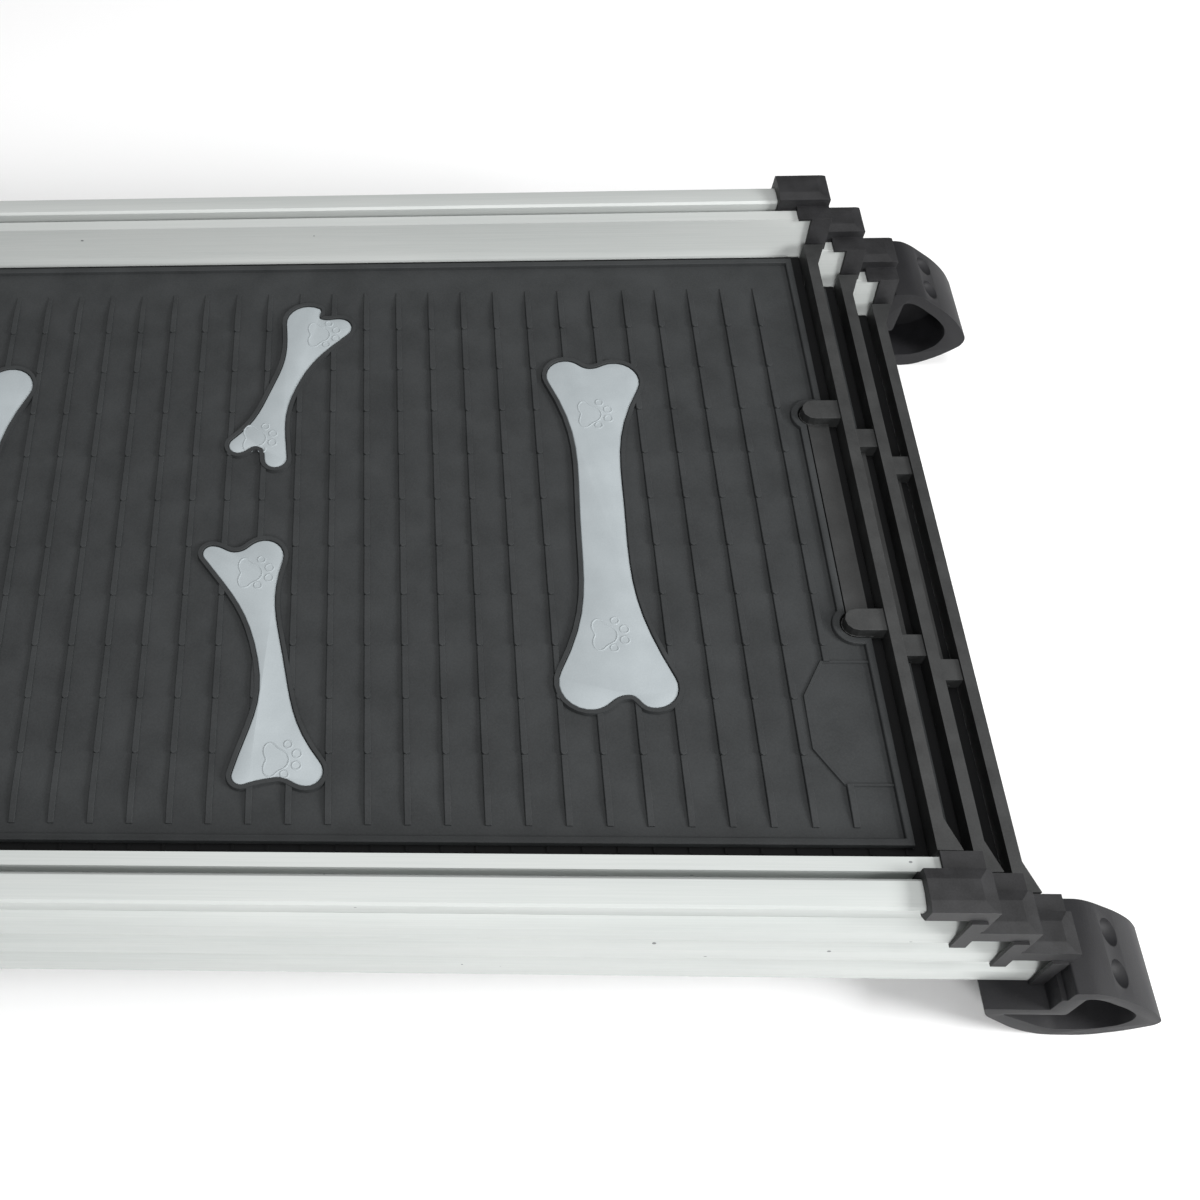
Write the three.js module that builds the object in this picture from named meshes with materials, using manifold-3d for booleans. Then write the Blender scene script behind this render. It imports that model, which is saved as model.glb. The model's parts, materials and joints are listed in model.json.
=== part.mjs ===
// A three-section telescoping dog ramp, closed. Millimetres, +Z up.
// +X runs along the ramp to the end that stands on the ground, and Y = 0 is its centre line.
// Section heights are measured from the top of each section's own mat.
import * as THREE from "three";
import { mergeVertices } from "three/addons/utils/BufferGeometryUtils.js";
import Module from "manifold-3d";

// Clearances
const GAP = 0.3; // between two pieces that touch
const SLIDE_GAP = 0.7; // between two rails that slide
const NOTCH_GAP = 0.8; // round the crossbar's tongue in the mat

// The stack of sections
const SECTIONS = ["top", "middle", "bottom"];
const STACK_PITCH = 24.3; // how much lower each section lies
const RAIL_OVERLAP = 101.4; // of two neighbouring rails, pulled right out

// Mat and deck
const MAT_LENGTH = 568;
const MAT_WIDTH = 354;
const MAT_THICKNESS = 3.3;
const DECK_THICKNESS = 1.9;
const DECK_MARGIN = 4.5; // how far the deck shows past the mat's long edge
const DECK_RIB_DEPTH = 4;
const DECK_RIB_WIDTH = 3;
const DECK_RIBS_Y = [-80, 0, 80];
const DECK_RIB_INSET = 10;

// Bone inlays: reach is half the width over the lobes, lobe their radius, shaft half the waist,
// flare how late the shaft widens, and bend how far the waist lies off the line between the ends
const BONE_THICKNESS = 2.6;
const BONE_UNIT = MAT_WIDTH / 354; // the bones' sizes are drawn for a mat 354 wide
const ARC_POINTS = 5;
const CURVE_STEPS = 5;
const QUARTER = 90; // degrees
const CURVE_PULL = 0.42; // of a curve's handles, as a share of its chord
const LOBE_ARCS = [[-25, 100], [80, 205], [155, 280], [260, 385]]; // degrees, round a bone's four lobes
// Lobes as [across, along, radius], the two notches between them, and the waist's two sides
const LARGE_BONE = {
  lobes: [[11, 92, 12.5], [-15, 95, 10.5], [-11.5, -93.5, 14], [18.5, -94, 11.5]],
  notches: [[-2.5, 100.5], [7, -99]],
  waist: [11, -11.5],
};
const MEDIUM_BONE = {
  lobes: [[11.5, 58.5, 9.5], [-14.5, 65, 4.5], [-17, -59.5, 4.5], [13, -62.5, 7.5]],
  notches: [[-1.5, 63.5], [-2, -63]],
  waist: [11.5, -0.5],
};
const SMALL_BONE = {
  lobes: [[10.5, 49, 6.5], [-7.5, 46.5, 12], [-9.5, -46.5, 5], [12, -47.5, 6]],
  notches: [[-1.5, 51.5], [1, -43.5]],
  waist: [4, -8],
};
const LARGE_BONE_X = 0.2887 * MAT_LENGTH;
const BONES = [
  { name: "bone_right", size: LARGE_BONE, x: LARGE_BONE_X, y: -3, turn: -2 },
  { name: "bone_near", size: MEDIUM_BONE, x: -7, y: -0.2345 * MAT_WIDTH, turn: 10.4 },
  { name: "bone_far", size: SMALL_BONE, x: 3, y: 0.2458 * MAT_WIDTH, turn: -21 },
  { name: "bone_left", size: LARGE_BONE, x: -LARGE_BONE_X, y: -3, turn: -2 },
];

// Rail section, from the mat's long edge outward and from the mat's top upward
const WALL = 1.8;
const LEDGE_REACH = 6.4; // of the ledge under the deck, inboard of the mat's edge
const COVE_FOOT = 5.4; // where the cove below the mat meets the ledge
const WEB_FOOT = 8.5;
const WEB_HEAD = 12.4;
const WEB_DROP = 2.8; // of the web's top below the bead's
const GROOVE_START = 19;
const GROOVE_WIDTH = 4.1;
const GROOVE_DEPTH = 8;
const UNDERSIDE = -3.3; // of the rail, where it runs over the bead below
const BEAD_WIDTH = 13.3;
const BEAD_SIDE = 3.2; // height of the bead's outer side
const BEAD_FALL = 2.3; // how much lower the bead's outer edge is than its top
const BEAD_ROUND = 1.2;
const NECK_INSET = 3.1; // of the wall below the bead
const NECK_SLOPE = 2.2;
const SKIRT_WALL = 1.9;
const LIP_THICKNESS = 1.6;
const END_MARGIN = 16.7; // of the rail past the mat, at each end

// Crossbars
const BAR_WIDTH = 5.7;
const BAR_TOP = 6;
const BAR_BOTTOM = -9.6;
const BAR_START = 6.3; // past the mat's end
const GUSSET = { along: 5.6, across: 15 };
const TONGUE_SETBACK = 10; // of the mat's edge between the lugs
const TONGUE_TOP = -1;
const TONGUE_REACH = 1.5; // past the mat, short of the bar by a groove
const LUG_SPACING = 128;
const LUG_RADIUS = 6;
const LUG_CENTRE = 6.3; // inboard of the mat's end
const LUG_TOP = 4.5;
const LUG_NOTCH = 1.2; // of the mat round a lug
const ARC_STEPS = 6;

// End caps
const CAP_LENGTH = 28;
const CAP_WALL = 2.4; // over the rail's end
const CAP_CHEEK = 1.7; // over the web
const CAP_RISE = 5.4; // above the bead
const CAP_OUT = 3.2; // outside the bead
const CAP_IN = 2.9; // inboard of the bead
const CAP_SHOULDER = 5;
const CAP_CROWN = 1.2;
const TOP_COVER = 17.7; // length of the cap over the web's top
const WEB_COVER = 10.8;
const SKIRT_COVER = 9.2;

// Travel stops
const STOP_STEP = 10.4; // of the plug's step, along the rail
const STOP_LENGTH = 17;

// Feet, from the rail's end and from the mat's top
const FOOT_INSIDE = 8.5; // of the foot's inner side, outside the mat's edge
const FOOT_WIDTH = 44;
const FOOT_FLOOR = -53;
const FOOT_HEIGHT = 62;
const FOOT_REACH = 56.3;
const FOOT_WALL = 7.4;
const FOOT_WEB = 4;
const GROUND_FOOT_TAIL = 28.5; // under the rail
const TANG_INSET = 2;

// Profiles of a foot: back from the tip and up from the floor
const FOOT_SLOPE = [[42.3, FOOT_HEIGHT], [35.3, 58.5], [18.3, 46], [7.8, 35.5], [0.8, 25], [0, 21.5]];
const FOOT_SOLE = [[1, 17], [10.9, 8], [22.8, 1.5], [29.3, 0], [44.3, 0], [54.7, 4.5], [63.6, 11]];
const POCKET_SLOPE = [[41.3, FOOT_HEIGHT - FOOT_WALL], [36.3, 52], [22.3, 41], [15.3, 33], [13.3, 25.5]];
const POCKET_SOLE = [[16, 17], [25.3, 10.7], [33, 9.5], [44.3, 9.5], [51.3, 13.2], [57.8, 18.5]];
const FOOT_HEEL = [3.5, 29]; // forward from the tail
const HEEL_WALL = 10;

// Foot screws
const SCREW_FROM_END = 6;
const SCREW_APART = 7;
const SCREW_RADIUS = 1.6;
const SCREW_HEAD_RADIUS = 3;
const SCREW_HEAD = 2.2;
const SCREW_HEAD_ROOM = 0.55; // between a head and the foot's web or heel
const SCREW_SIDES = 12;

// Rest pads under the bottom section's other end
const PAD_START = 6;
const PAD_LENGTH = 30;
const PAD_TAPER = 4;
const PAD_WIDTH = 25;

// Worked-out sizes
const EDGE = MAT_WIDTH / 2;
const MAT_END = MAT_LENGTH / 2;
const RAIL_END = MAT_END + END_MARGIN;
const CAP_END = RAIL_END + GAP + CAP_WALL;
const CAP_START = CAP_END - CAP_LENGTH;
const SECTION_STEP = RAIL_END + GAP - CAP_START; // each cap stops the rail above it
const DECK_TOP = -MAT_THICKNESS - GAP;
const DECK_BOTTOM = DECK_TOP - DECK_THICKNESS;
const LEDGE_TOP = DECK_BOTTOM - GAP;
const BEAD_TOP = STACK_PITCH + UNDERSIDE - SLIDE_GAP;
const WEB_TOP = BEAD_TOP - WEB_DROP;
const BEAD_IN = EDGE + GROOVE_START + GROOVE_WIDTH;
const BEAD_CREST = BEAD_IN + BEAD_WIDTH / 2; // where the bead's top starts to fall outward
const BEAD_OUT = BEAD_IN + BEAD_WIDTH;
const BEAD_EDGE = BEAD_TOP - BEAD_FALL;
const NECK_TOP = BEAD_EDGE - BEAD_SIDE - NECK_SLOPE;
const NECK = BEAD_OUT - NECK_INSET;
const SKIRT_IN = BEAD_OUT + SLIDE_GAP;
const LIP_TOP = NECK_TOP - STACK_PITCH - SLIDE_GAP;
const LIP_BOTTOM = LIP_TOP - LIP_THICKNESS;
const TRAVEL = 2 * RAIL_END - RAIL_OVERLAP; // of each slide joint
const CAP_LIFT = BEAD_TOP + CAP_RISE - STACK_PITCH + 2 * GAP; // the end wall clears the cap below
const SCREW_CENTRE = (NECK + EDGE + GROOVE_START) / 2; // between the rail's groove and its neck
const VEHICLE_FOOT_TAIL = SECTION_STEP - (CAP_END - RAIL_END) - 3 * GAP;
const FLOOR_TO_TOP_MAT = (SECTIONS.length - 1) * STACK_PITCH - FOOT_FLOOR;

const wasm = await Module();
wasm.setup();

function solidFrom(geometry) {
  const loose = geometry.index ? geometry.toNonIndexed() : geometry;
  const bare = new THREE.BufferGeometry();
  bare.setAttribute("position", loose.getAttribute("position"));
  const merged = mergeVertices(bare, 1e-4);
  const mesh = new wasm.Mesh({
    numProp: 3,
    vertProperties: merged.attributes.position.array,
    triVerts: new Uint32Array(merged.index.array),
  });
  return new wasm.Manifold(mesh);
}

function geometryFrom(solid) {
  const mesh = solid.getMesh();
  const geometry = new THREE.BufferGeometry();
  geometry.setAttribute("position", new THREE.BufferAttribute(mesh.vertProperties, 3));
  geometry.setIndex(new THREE.BufferAttribute(mesh.triVerts, 1));
  return geometry;
}

function join(first, ...others) {
  return others.reduce((sum, other) => sum.add(other), first);
}

function vectors(points) {
  return points.map(([u, v]) => new THREE.Vector2(u, v));
}

// A shape whose outline runs anticlockwise, so that its holes are turned the other way
function shapeFrom(points, holes = []) {
  const outline = vectors(points);
  const shape = new THREE.Shape(THREE.ShapeUtils.isClockWise(outline) ? outline.reverse() : outline);
  shape.holes = holes.map((hole) => new THREE.Path(vectors(hole)));
  return shape;
}

// An outline in (y, z), extruded along X from x0 to x1
function alongX(points, x0, x1, holes = []) {
  const depth = Math.abs(x1 - x0);
  const geometry = new THREE.ExtrudeGeometry(shapeFrom(points, holes), { depth, bevelEnabled: false });
  const basis = new THREE.Matrix4().set(0, 0, 1, Math.min(x0, x1), 1, 0, 0, 0, 0, 1, 0, 0, 0, 0, 0, 1);
  return solidFrom(geometry.applyMatrix4(basis));
}

// An outline in (x, z), extruded along Y from y0 to y1
function alongY(points, y0, y1) {
  const depth = Math.abs(y1 - y0);
  const geometry = new THREE.ExtrudeGeometry(shapeFrom(points), { depth, bevelEnabled: false });
  const basis = new THREE.Matrix4().set(1, 0, 0, 0, 0, 0, -1, Math.max(y0, y1), 0, 1, 0, 0, 0, 0, 0, 1);
  return solidFrom(geometry.applyMatrix4(basis));
}

// An outline in (x, y), extruded upward from z0 to z1
function upward(points, z0, z1, holes = []) {
  const depth = z1 - z0;
  const geometry = new THREE.ExtrudeGeometry(shapeFrom(points, holes), { depth, bevelEnabled: false });
  return solidFrom(geometry.translate(0, 0, z0));
}

function rectangle(x0, x1, y0, y1) {
  return [[x0, y0], [x1, y0], [x1, y1], [x0, y1]];
}

function upright(radius, z0, z1, x, y) {
  const geometry = new THREE.CylinderGeometry(radius, radius, z1 - z0, SCREW_SIDES);
  geometry.rotateX(Math.PI / 2);
  return solidFrom(geometry.translate(x, y, (z0 + z1) / 2));
}

// Points on an arc, with angles in degrees
function arc(cx, cy, radius, from, to, steps) {
  return Array.from({ length: steps + 1 }, (_, i) => {
    const angle = THREE.MathUtils.degToRad(from + ((to - from) * i) / steps);
    return [cx + radius * Math.cos(angle), cy + radius * Math.sin(angle)];
  });
}

function onSide(points, side) {
  return points.map(([across, z]) => [side * across, z]);
}

function atEnd(points, end) {
  return points.map(([x, other]) => [end * x, other]);
}

// The rail's outline: cove and ledge under the deck, web, groove, bead, outer wall,
// and the skirt whose lip hooks under the bead of the rail below
function railOutline() {
  const coveFoot = EDGE + COVE_FOOT;
  const webFoot = EDGE + WEB_FOOT;
  return [
    [EDGE - LEDGE_REACH, LEDGE_TOP],
    [coveFoot, LEDGE_TOP],
    [webFoot, 0],
    [EDGE + WEB_HEAD, WEB_TOP],
    [EDGE + GROOVE_START, WEB_TOP],
    [EDGE + GROOVE_START, WEB_TOP - GROOVE_DEPTH],
    [BEAD_IN, WEB_TOP - GROOVE_DEPTH],
    [BEAD_IN, BEAD_TOP - BEAD_ROUND],
    [BEAD_IN + BEAD_ROUND, BEAD_TOP],
    [BEAD_CREST, BEAD_TOP],
    [BEAD_OUT - BEAD_ROUND, BEAD_EDGE + BEAD_ROUND],
    [BEAD_OUT, BEAD_EDGE],
    [BEAD_OUT, BEAD_EDGE - BEAD_SIDE],
    [NECK, NECK_TOP],
    [NECK, UNDERSIDE + SKIRT_WALL + NECK_SLOPE],
    [BEAD_OUT, UNDERSIDE + SKIRT_WALL],
    [SKIRT_IN + BEAD_ROUND, UNDERSIDE - BEAD_ROUND],
    [SKIRT_IN + SKIRT_WALL, LIP_TOP + LIP_THICKNESS],
    [SKIRT_IN + SKIRT_WALL, LIP_BOTTOM],
    [NECK + SLIDE_GAP, LIP_BOTTOM],
    [NECK + SLIDE_GAP, LIP_TOP],
    [SKIRT_IN, LIP_TOP + NECK_SLOPE],
    [SKIRT_IN, UNDERSIDE - BEAD_FALL],
    [BEAD_OUT - BEAD_ROUND, UNDERSIDE - BEAD_ROUND],
    [BEAD_CREST, UNDERSIDE],
    [webFoot + NECK_SLOPE, UNDERSIDE],
    [coveFoot + NECK_SLOPE, LEDGE_TOP - WALL],
    [EDGE - LEDGE_REACH, LEDGE_TOP - WALL],
  ];
}

// The rail's hollow, kept one wall inside the outline, and smaller by inset for what fits in it
function railHollow(inset) {
  const floor = UNDERSIDE + WALL + inset;
  const groove = WEB_TOP - GROOVE_DEPTH - WALL - inset;
  return [
    [EDGE + WEB_FOOT + WALL + inset, floor],
    [NECK - WALL - inset, floor],
    [NECK - WALL - inset, groove],
    [EDGE + GROOVE_START - WALL - inset, groove],
    [EDGE + GROOVE_START - WALL - inset, WEB_TOP - WALL - inset],
    [EDGE + WEB_HEAD + WALL + inset, WEB_TOP - WALL - inset],
  ];
}

// The two screws of a foot stand side by side across the rail
function screwSpots(side, end) {
  const x = end * (RAIL_END - SCREW_FROM_END);
  return [-1, 1].map((out) => [x, side * (SCREW_CENTRE + (out * SCREW_APART) / 2)]);
}

// Clearance holes for a foot's screws, up to the given height
function drill(solid, side, end, top) {
  const from = LIP_BOTTOM - 2 * FOOT_WALL;
  const holes = screwSpots(side, end).map(([x, y]) => upright(SCREW_RADIUS + GAP, from, top, x, y));
  return holes.reduce((left, hole) => left.subtract(hole), solid);
}

function rail(side, screwEnd) {
  const holes = [onSide(railHollow(0), side)];
  const solid = alongX(onSide(railOutline(), side), -RAIL_END, RAIL_END, holes);
  return screwEnd ? drill(solid, side, screwEnd, UNDERSIDE + WALL + GAP) : solid;
}

// The direction in which an anticlockwise arc runs at an angle
function heading(angle) {
  const turn = THREE.MathUtils.degToRad(angle);
  return new THREE.Vector2(-Math.sin(turn), Math.cos(turn));
}

// The points inside a Bezier curve from one point and direction to the next
function curveBetween(from, leaving, to, arriving) {
  const start = new THREE.Vector2(...from);
  const stop = new THREE.Vector2(...to);
  const pull = start.distanceTo(stop) * CURVE_PULL;
  const first = start.clone().addScaledVector(leaving, pull);
  const second = stop.clone().addScaledVector(arriving, -pull);
  const curve = new THREE.CubicBezierCurve(start, first, second, stop);
  return curve.getPoints(CURVE_STEPS).slice(1, -1).map(({ x, y }) => [x, y]);
}

// A bone's upright outline: arcs round its lobes, joined through the waist and the notches
function uprightBone(size) {
  const [right, left] = size.waist;
  const breaks = [[right, 0], size.notches[0], [left, 0], size.notches[1]];
  const runs = LOBE_ARCS.flatMap(([from, to], i) => [
    { points: [breaks[i]], arriving: heading(QUARTER * i), leaving: heading(QUARTER * i) },
    {
      points: arc(...size.lobes[i], from, to, ARC_POINTS),
      arriving: heading(from),
      leaving: heading(to),
    },
  ]);
  return runs.flatMap(({ points, leaving }, i) => {
    const next = runs[(i + 1) % runs.length];
    return [...points, ...curveBetween(points.at(-1), leaving, next.points[0], next.arriving)];
  });
}

// An anticlockwise outline moved outward
function widened(points, distance) {
  return points.map(([x, y], i) => {
    const before = points.at(i - 1);
    const after = points[(i + 1) % points.length];
    const along = new THREE.Vector2(after[0] - before[0], after[1] - before[1]).normalize();
    return [x + along.y * distance, y - along.x * distance];
  });
}

function boneOutline(bone, grow) {
  const turn = THREE.MathUtils.degToRad(bone.turn);
  const placed = uprightBone(bone.size).map(([across, along]) => [
    bone.x + BONE_UNIT * (across * Math.cos(turn) - along * Math.sin(turn)),
    bone.y + BONE_UNIT * (across * Math.sin(turn) + along * Math.cos(turn)),
  ]);
  return grow ? widened(placed, grow) : placed;
}

function boneInlay(bone) {
  return upward(boneOutline(bone, 0), -MAT_THICKNESS, BONE_THICKNESS - MAT_THICKNESS);
}

// The notch at one end of the mat, from -Y to +Y: round each lug, and set back between them
function notchEdge(shrink) {
  const radius = LUG_RADIUS + LUG_NOTCH - shrink;
  const lugX = MAT_END - LUG_CENTRE;
  const setback = MAT_END - TONGUE_SETBACK + shrink;
  const meet = THREE.MathUtils.radToDeg(Math.acos((setback - lugX) / radius));
  const near = arc(lugX, -LUG_SPACING / 2, radius, -90, meet - 360, ARC_STEPS);
  const far = near.map(([x, y]) => [x, -y]).reverse();
  return [...near, ...far];
}

function mat() {
  const edge = notchEdge(0);
  const reach = edge[0][1];
  const right = [[MAT_END, -EDGE], [MAT_END, reach], ...edge, [MAT_END, -reach], [MAT_END, EDGE]];
  const left = right.map(([x, y]) => [-x, y]).reverse();
  const pockets = BONES.map((bone) => boneOutline(bone, GAP));
  return upward([...right, ...left], -MAT_THICKNESS, 0, pockets);
}

function deck() {
  const end = MAT_END + BAR_START - GAP;
  const side = EDGE + DECK_MARGIN;
  const panel = upward(rectangle(-end, end, -side, side), DECK_BOTTOM, DECK_TOP);
  const reach = MAT_END - DECK_RIB_INSET;
  const half = DECK_RIB_WIDTH / 2;
  const ribs = DECK_RIBS_Y.map((y) =>
    upward(rectangle(-reach, reach, y - half, y + half), DECK_BOTTOM - DECK_RIB_DEPTH, DECK_TOP),
  );
  return join(panel, ...ribs);
}

function lug(end, y) {
  const x = MAT_END - LUG_CENTRE;
  const tip = arc(x, y, LUG_RADIUS, 90, 270, ARC_STEPS);
  const start = MAT_END + BAR_START;
  const outline = [...tip, [start, y - LUG_RADIUS], [start, y + LUG_RADIUS]];
  return upward(atEnd(outline, end), -MAT_THICKNESS, LUG_TOP);
}

function gusset(end, side) {
  const start = MAT_END + BAR_START + BAR_WIDTH;
  const outer = EDGE + DECK_MARGIN;
  const points = [[start, outer - GUSSET.across], [start + GUSSET.along, outer], [start, outer]];
  const placed = points.map(([x, y]) => [end * x, side * y]);
  return upward(placed, LEDGE_TOP + GAP, BAR_TOP);
}

// The raised bar at a section's end, with the tongue and the two lugs that lie in the mat's notch
function crossbar(end) {
  const start = MAT_END + BAR_START;
  const stop = start + BAR_WIDTH;
  const inner = EDGE - LEDGE_REACH - GAP;
  const outer = EDGE + DECK_MARGIN;
  const edge = notchEdge(NOTCH_GAP);
  const reach = edge[0][1];
  const centre = upward(atEnd(rectangle(start, stop, -inner, inner), end), BAR_BOTTOM, BAR_TOP);
  const whole = upward(atEnd(rectangle(start, stop, -outer, outer), end), LEDGE_TOP + GAP, BAR_TOP);
  const tip = MAT_END + TONGUE_REACH;
  const tongue = upward(atEnd([[tip, reach], ...edge, [tip, -reach]], end), -MAT_THICKNESS, TONGUE_TOP);
  const lugs = [-1, 1].map((side) => lug(end, (side * LUG_SPACING) / 2));
  const gussets = [-1, 1].map((side) => gusset(end, side));
  return join(centre, whole, tongue, ...lugs, ...gussets);
}

// The cap's sleeve: round the bead, with a key in the groove
function sleeveOutline() {
  const top = BEAD_TOP + CAP_RISE;
  const inner = BEAD_IN - CAP_IN;
  const outer = BEAD_OUT + CAP_OUT;
  const key = EDGE + GROOVE_START + GAP;
  const fit = GAP + BEAD_ROUND;
  return [
    [key, WEB_TOP - GROOVE_DEPTH + GAP],
    [BEAD_IN - GAP, WEB_TOP - GROOVE_DEPTH + GAP],
    [BEAD_IN - GAP, BEAD_TOP + GAP - BEAD_ROUND],
    [BEAD_IN - GAP + BEAD_ROUND, BEAD_TOP + GAP],
    [BEAD_CREST, BEAD_TOP + GAP],
    [BEAD_OUT - BEAD_ROUND + GAP, BEAD_EDGE + fit],
    [BEAD_OUT + GAP, BEAD_EDGE + GAP],
    [BEAD_OUT + GAP, BEAD_EDGE - BEAD_SIDE - GAP],
    [NECK + fit, NECK_TOP + GAP],
    [NECK + fit, NECK_TOP - BEAD_ROUND],
    [BEAD_OUT, NECK_TOP - BEAD_ROUND],
    [outer, BEAD_EDGE - BEAD_SIDE],
    [outer, top - CAP_CROWN],
    [outer - CAP_SHOULDER, top],
    [inner + CAP_SHOULDER, top],
    [inner, top - CAP_CROWN],
    [inner, WEB_TOP + GAP],
    [key, WEB_TOP + GAP],
  ];
}

function topCoverOutline() {
  const inner = EDGE + WEB_HEAD - GAP - CAP_CHEEK;
  const z = WEB_TOP + GAP;
  return rectangle(inner, BEAD_IN - CAP_IN + GAP, z, z + CAP_CHEEK);
}

function cheekOutline() {
  const foot = EDGE + WEB_FOOT - GAP;
  const head = EDGE + WEB_HEAD - GAP;
  const z = WEB_TOP + GAP;
  const over = z + CAP_CHEEK;
  return [[foot - CAP_CHEEK, 0], [foot, 0], [head, z], [head, over], [head - CAP_CHEEK, over]];
}

// The strip of the cap that covers the end of the skirt's outer face
function skirtCoverOutline() {
  const inner = SKIRT_IN + SKIRT_WALL + GAP;
  return rectangle(inner, inner + CAP_CHEEK, LIP_BOTTOM, BEAD_EDGE - BEAD_SIDE);
}

function capEndOutline() {
  const top = BEAD_TOP + CAP_RISE;
  const inner = BEAD_IN - CAP_IN;
  const outer = BEAD_OUT + CAP_OUT;
  const foot = EDGE + WEB_FOOT - GAP - CAP_CHEEK;
  const head = EDGE + WEB_HEAD - GAP - CAP_CHEEK;
  const cover = WEB_TOP + GAP + CAP_CHEEK;
  return [
    [foot, 0],
    [EDGE + WEB_HEAD, 0],
    [EDGE + GROOVE_START, CAP_LIFT],
    [outer, CAP_LIFT],
    [outer, top - CAP_CROWN],
    [outer - CAP_SHOULDER, top],
    [inner + CAP_SHOULDER, top],
    [inner, top - CAP_CROWN],
    [inner, cover],
    [head, cover],
  ];
}

function endCap(side, end) {
  const wallStart = RAIL_END + GAP;
  const parts = [
    alongX(onSide(sleeveOutline(), side), end * CAP_START, end * CAP_END),
    alongX(onSide(topCoverOutline(), side), end * (CAP_END - TOP_COVER), end * CAP_END),
    alongX(onSide(cheekOutline(), side), end * (CAP_END - WEB_COVER), end * CAP_END),
    alongX(onSide(skirtCoverOutline(), side), end * (CAP_END - SKIRT_COVER), end * wallStart),
    alongX(onSide(capEndOutline(), side), end * wallStart, end * CAP_END),
  ];
  return join(...parts);
}

// The plug in a lower rail's covered end, with the step that meets the stop pad of the rail above
function endPlug(side) {
  const wall = railHollow(-GAP);
  const tang = railHollow(GAP);
  const low = WEB_TOP - 2 * WALL;
  const stepTop = UNDERSIDE + STACK_PITCH - GAP;
  const head = rectangle(EDGE + WEB_HEAD + GAP, EDGE + GROOVE_START - GAP, low, stepTop);
  const step = rectangle(EDGE + WEB_HEAD + GAP, EDGE + GROOVE_START - GAP, WEB_TOP + GAP, stepTop);
  const parts = [
    alongX(onSide(wall, side), -CAP_END, -RAIL_END - GAP),
    alongX(onSide(head, side), -CAP_END, -RAIL_END - GAP),
    alongX(onSide(tang, side), -CAP_END, -RAIL_END + STOP_STEP),
    alongX(onSide(step, side), -CAP_END, -CAP_END + STOP_STEP),
  ];
  return join(...parts);
}

function stopPad(side) {
  const start = SECTION_STEP + TRAVEL - CAP_END + STOP_STEP + GAP;
  const top = UNDERSIDE - GAP;
  const bottom = WEB_TOP - STACK_PITCH + GAP;
  const outline = rectangle(EDGE + WEB_HEAD + GAP, EDGE + GROOVE_START - GAP, bottom, top);
  return alongX(onSide(outline, side), start, start + STOP_LENGTH);
}

// The block that fills the space between the rail's lip and the rail's underside
function tang(side, x0, x1) {
  const low = LIP_BOTTOM - FOOT_WALL / 2;
  const outline = rectangle(EDGE + GROOVE_START, NECK - GAP, low, UNDERSIDE - BEAD_ROUND);
  return alongX(onSide(outline, side), x0, x1);
}

function fromTip(points) {
  return points.map(([back, up]) => [FOOT_REACH - back, FOOT_FLOOR + up]);
}

// A foot's outline in (x past the rail's end, z), with a tail of the given length under the rail
function footOutline(tail) {
  const under = LIP_BOTTOM - GAP;
  const step = -2 * GAP;
  const front = CAP_WALL + 2 * GAP;
  return [
    [2 * GAP, under],
    [2 * GAP, step],
    [front, step],
    [front, FOOT_FLOOR + FOOT_HEIGHT],
    ...fromTip(FOOT_SLOPE),
    ...fromTip(FOOT_SOLE),
    [FOOT_HEEL[0] - tail, FOOT_FLOOR + FOOT_HEEL[1]],
    [-tail, under],
  ];
}

// The pocket on either side of a foot's web
function footPocket(tail) {
  const under = LIP_BOTTOM - GAP - FOOT_WALL;
  const front = CAP_WALL + 2 * GAP + FOOT_WALL;
  const heel = Math.min(HEEL_WALL - tail, -SCREW_FROM_END - SCREW_HEAD_RADIUS - SCREW_HEAD_ROOM);
  return [
    [front, FOOT_FLOOR + FOOT_HEIGHT - FOOT_WALL],
    ...fromTip(POCKET_SLOPE),
    ...fromTip(POCKET_SOLE),
    [heel, under],
    [front, under],
  ];
}

function foot(side, end, tail) {
  const place = (points) => points.map(([x, z]) => [end * (RAIL_END + x), z]);
  const inside = side * (EDGE + FOOT_INSIDE);
  const outside = side * (EDGE + FOOT_INSIDE + FOOT_WIDTH);
  const shell = alongY(place(footOutline(tail)), inside, outside);
  const solid = shell.add(tang(side, end * (RAIL_END - tail + TANG_INSET), end * RAIL_END));
  const web = side * (SCREW_CENTRE + SCREW_APART / 2 + SCREW_HEAD_RADIUS + SCREW_HEAD_ROOM);
  const pocket = place(footPocket(tail));
  const inner = alongY(pocket, inside - side * GAP, web);
  const outer = alongY(pocket, web + side * FOOT_WEB, outside + side * GAP);
  return drill(solid.subtract(inner).subtract(outer), side, end, UNDERSIDE);
}

function footScrew([x, y]) {
  const seat = LIP_BOTTOM - 2 * GAP - FOOT_WALL;
  const head = upright(SCREW_HEAD_RADIUS, seat - SCREW_HEAD, seat, x, y);
  const shank = upright(SCREW_RADIUS, seat - GAP, UNDERSIDE + WALL, x, y);
  return join(head, shank);
}

function restPad(side) {
  const x = -RAIL_END + PAD_START;
  const under = LIP_BOTTOM - GAP;
  const outline = [
    [x, under],
    [x + PAD_TAPER, FOOT_FLOOR],
    [x + PAD_LENGTH - PAD_TAPER, FOOT_FLOOR],
    [x + PAD_LENGTH, under],
  ];
  const outside = side * (SKIRT_IN + SKIRT_WALL);
  const block = alongY(outline, outside - side * PAD_WIDTH, outside);
  return block.add(tang(side, x + PAD_TAPER, x + PAD_LENGTH - PAD_TAPER));
}

function finish(color, roughness, metalness) {
  return { color, roughness, metalness };
}

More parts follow.
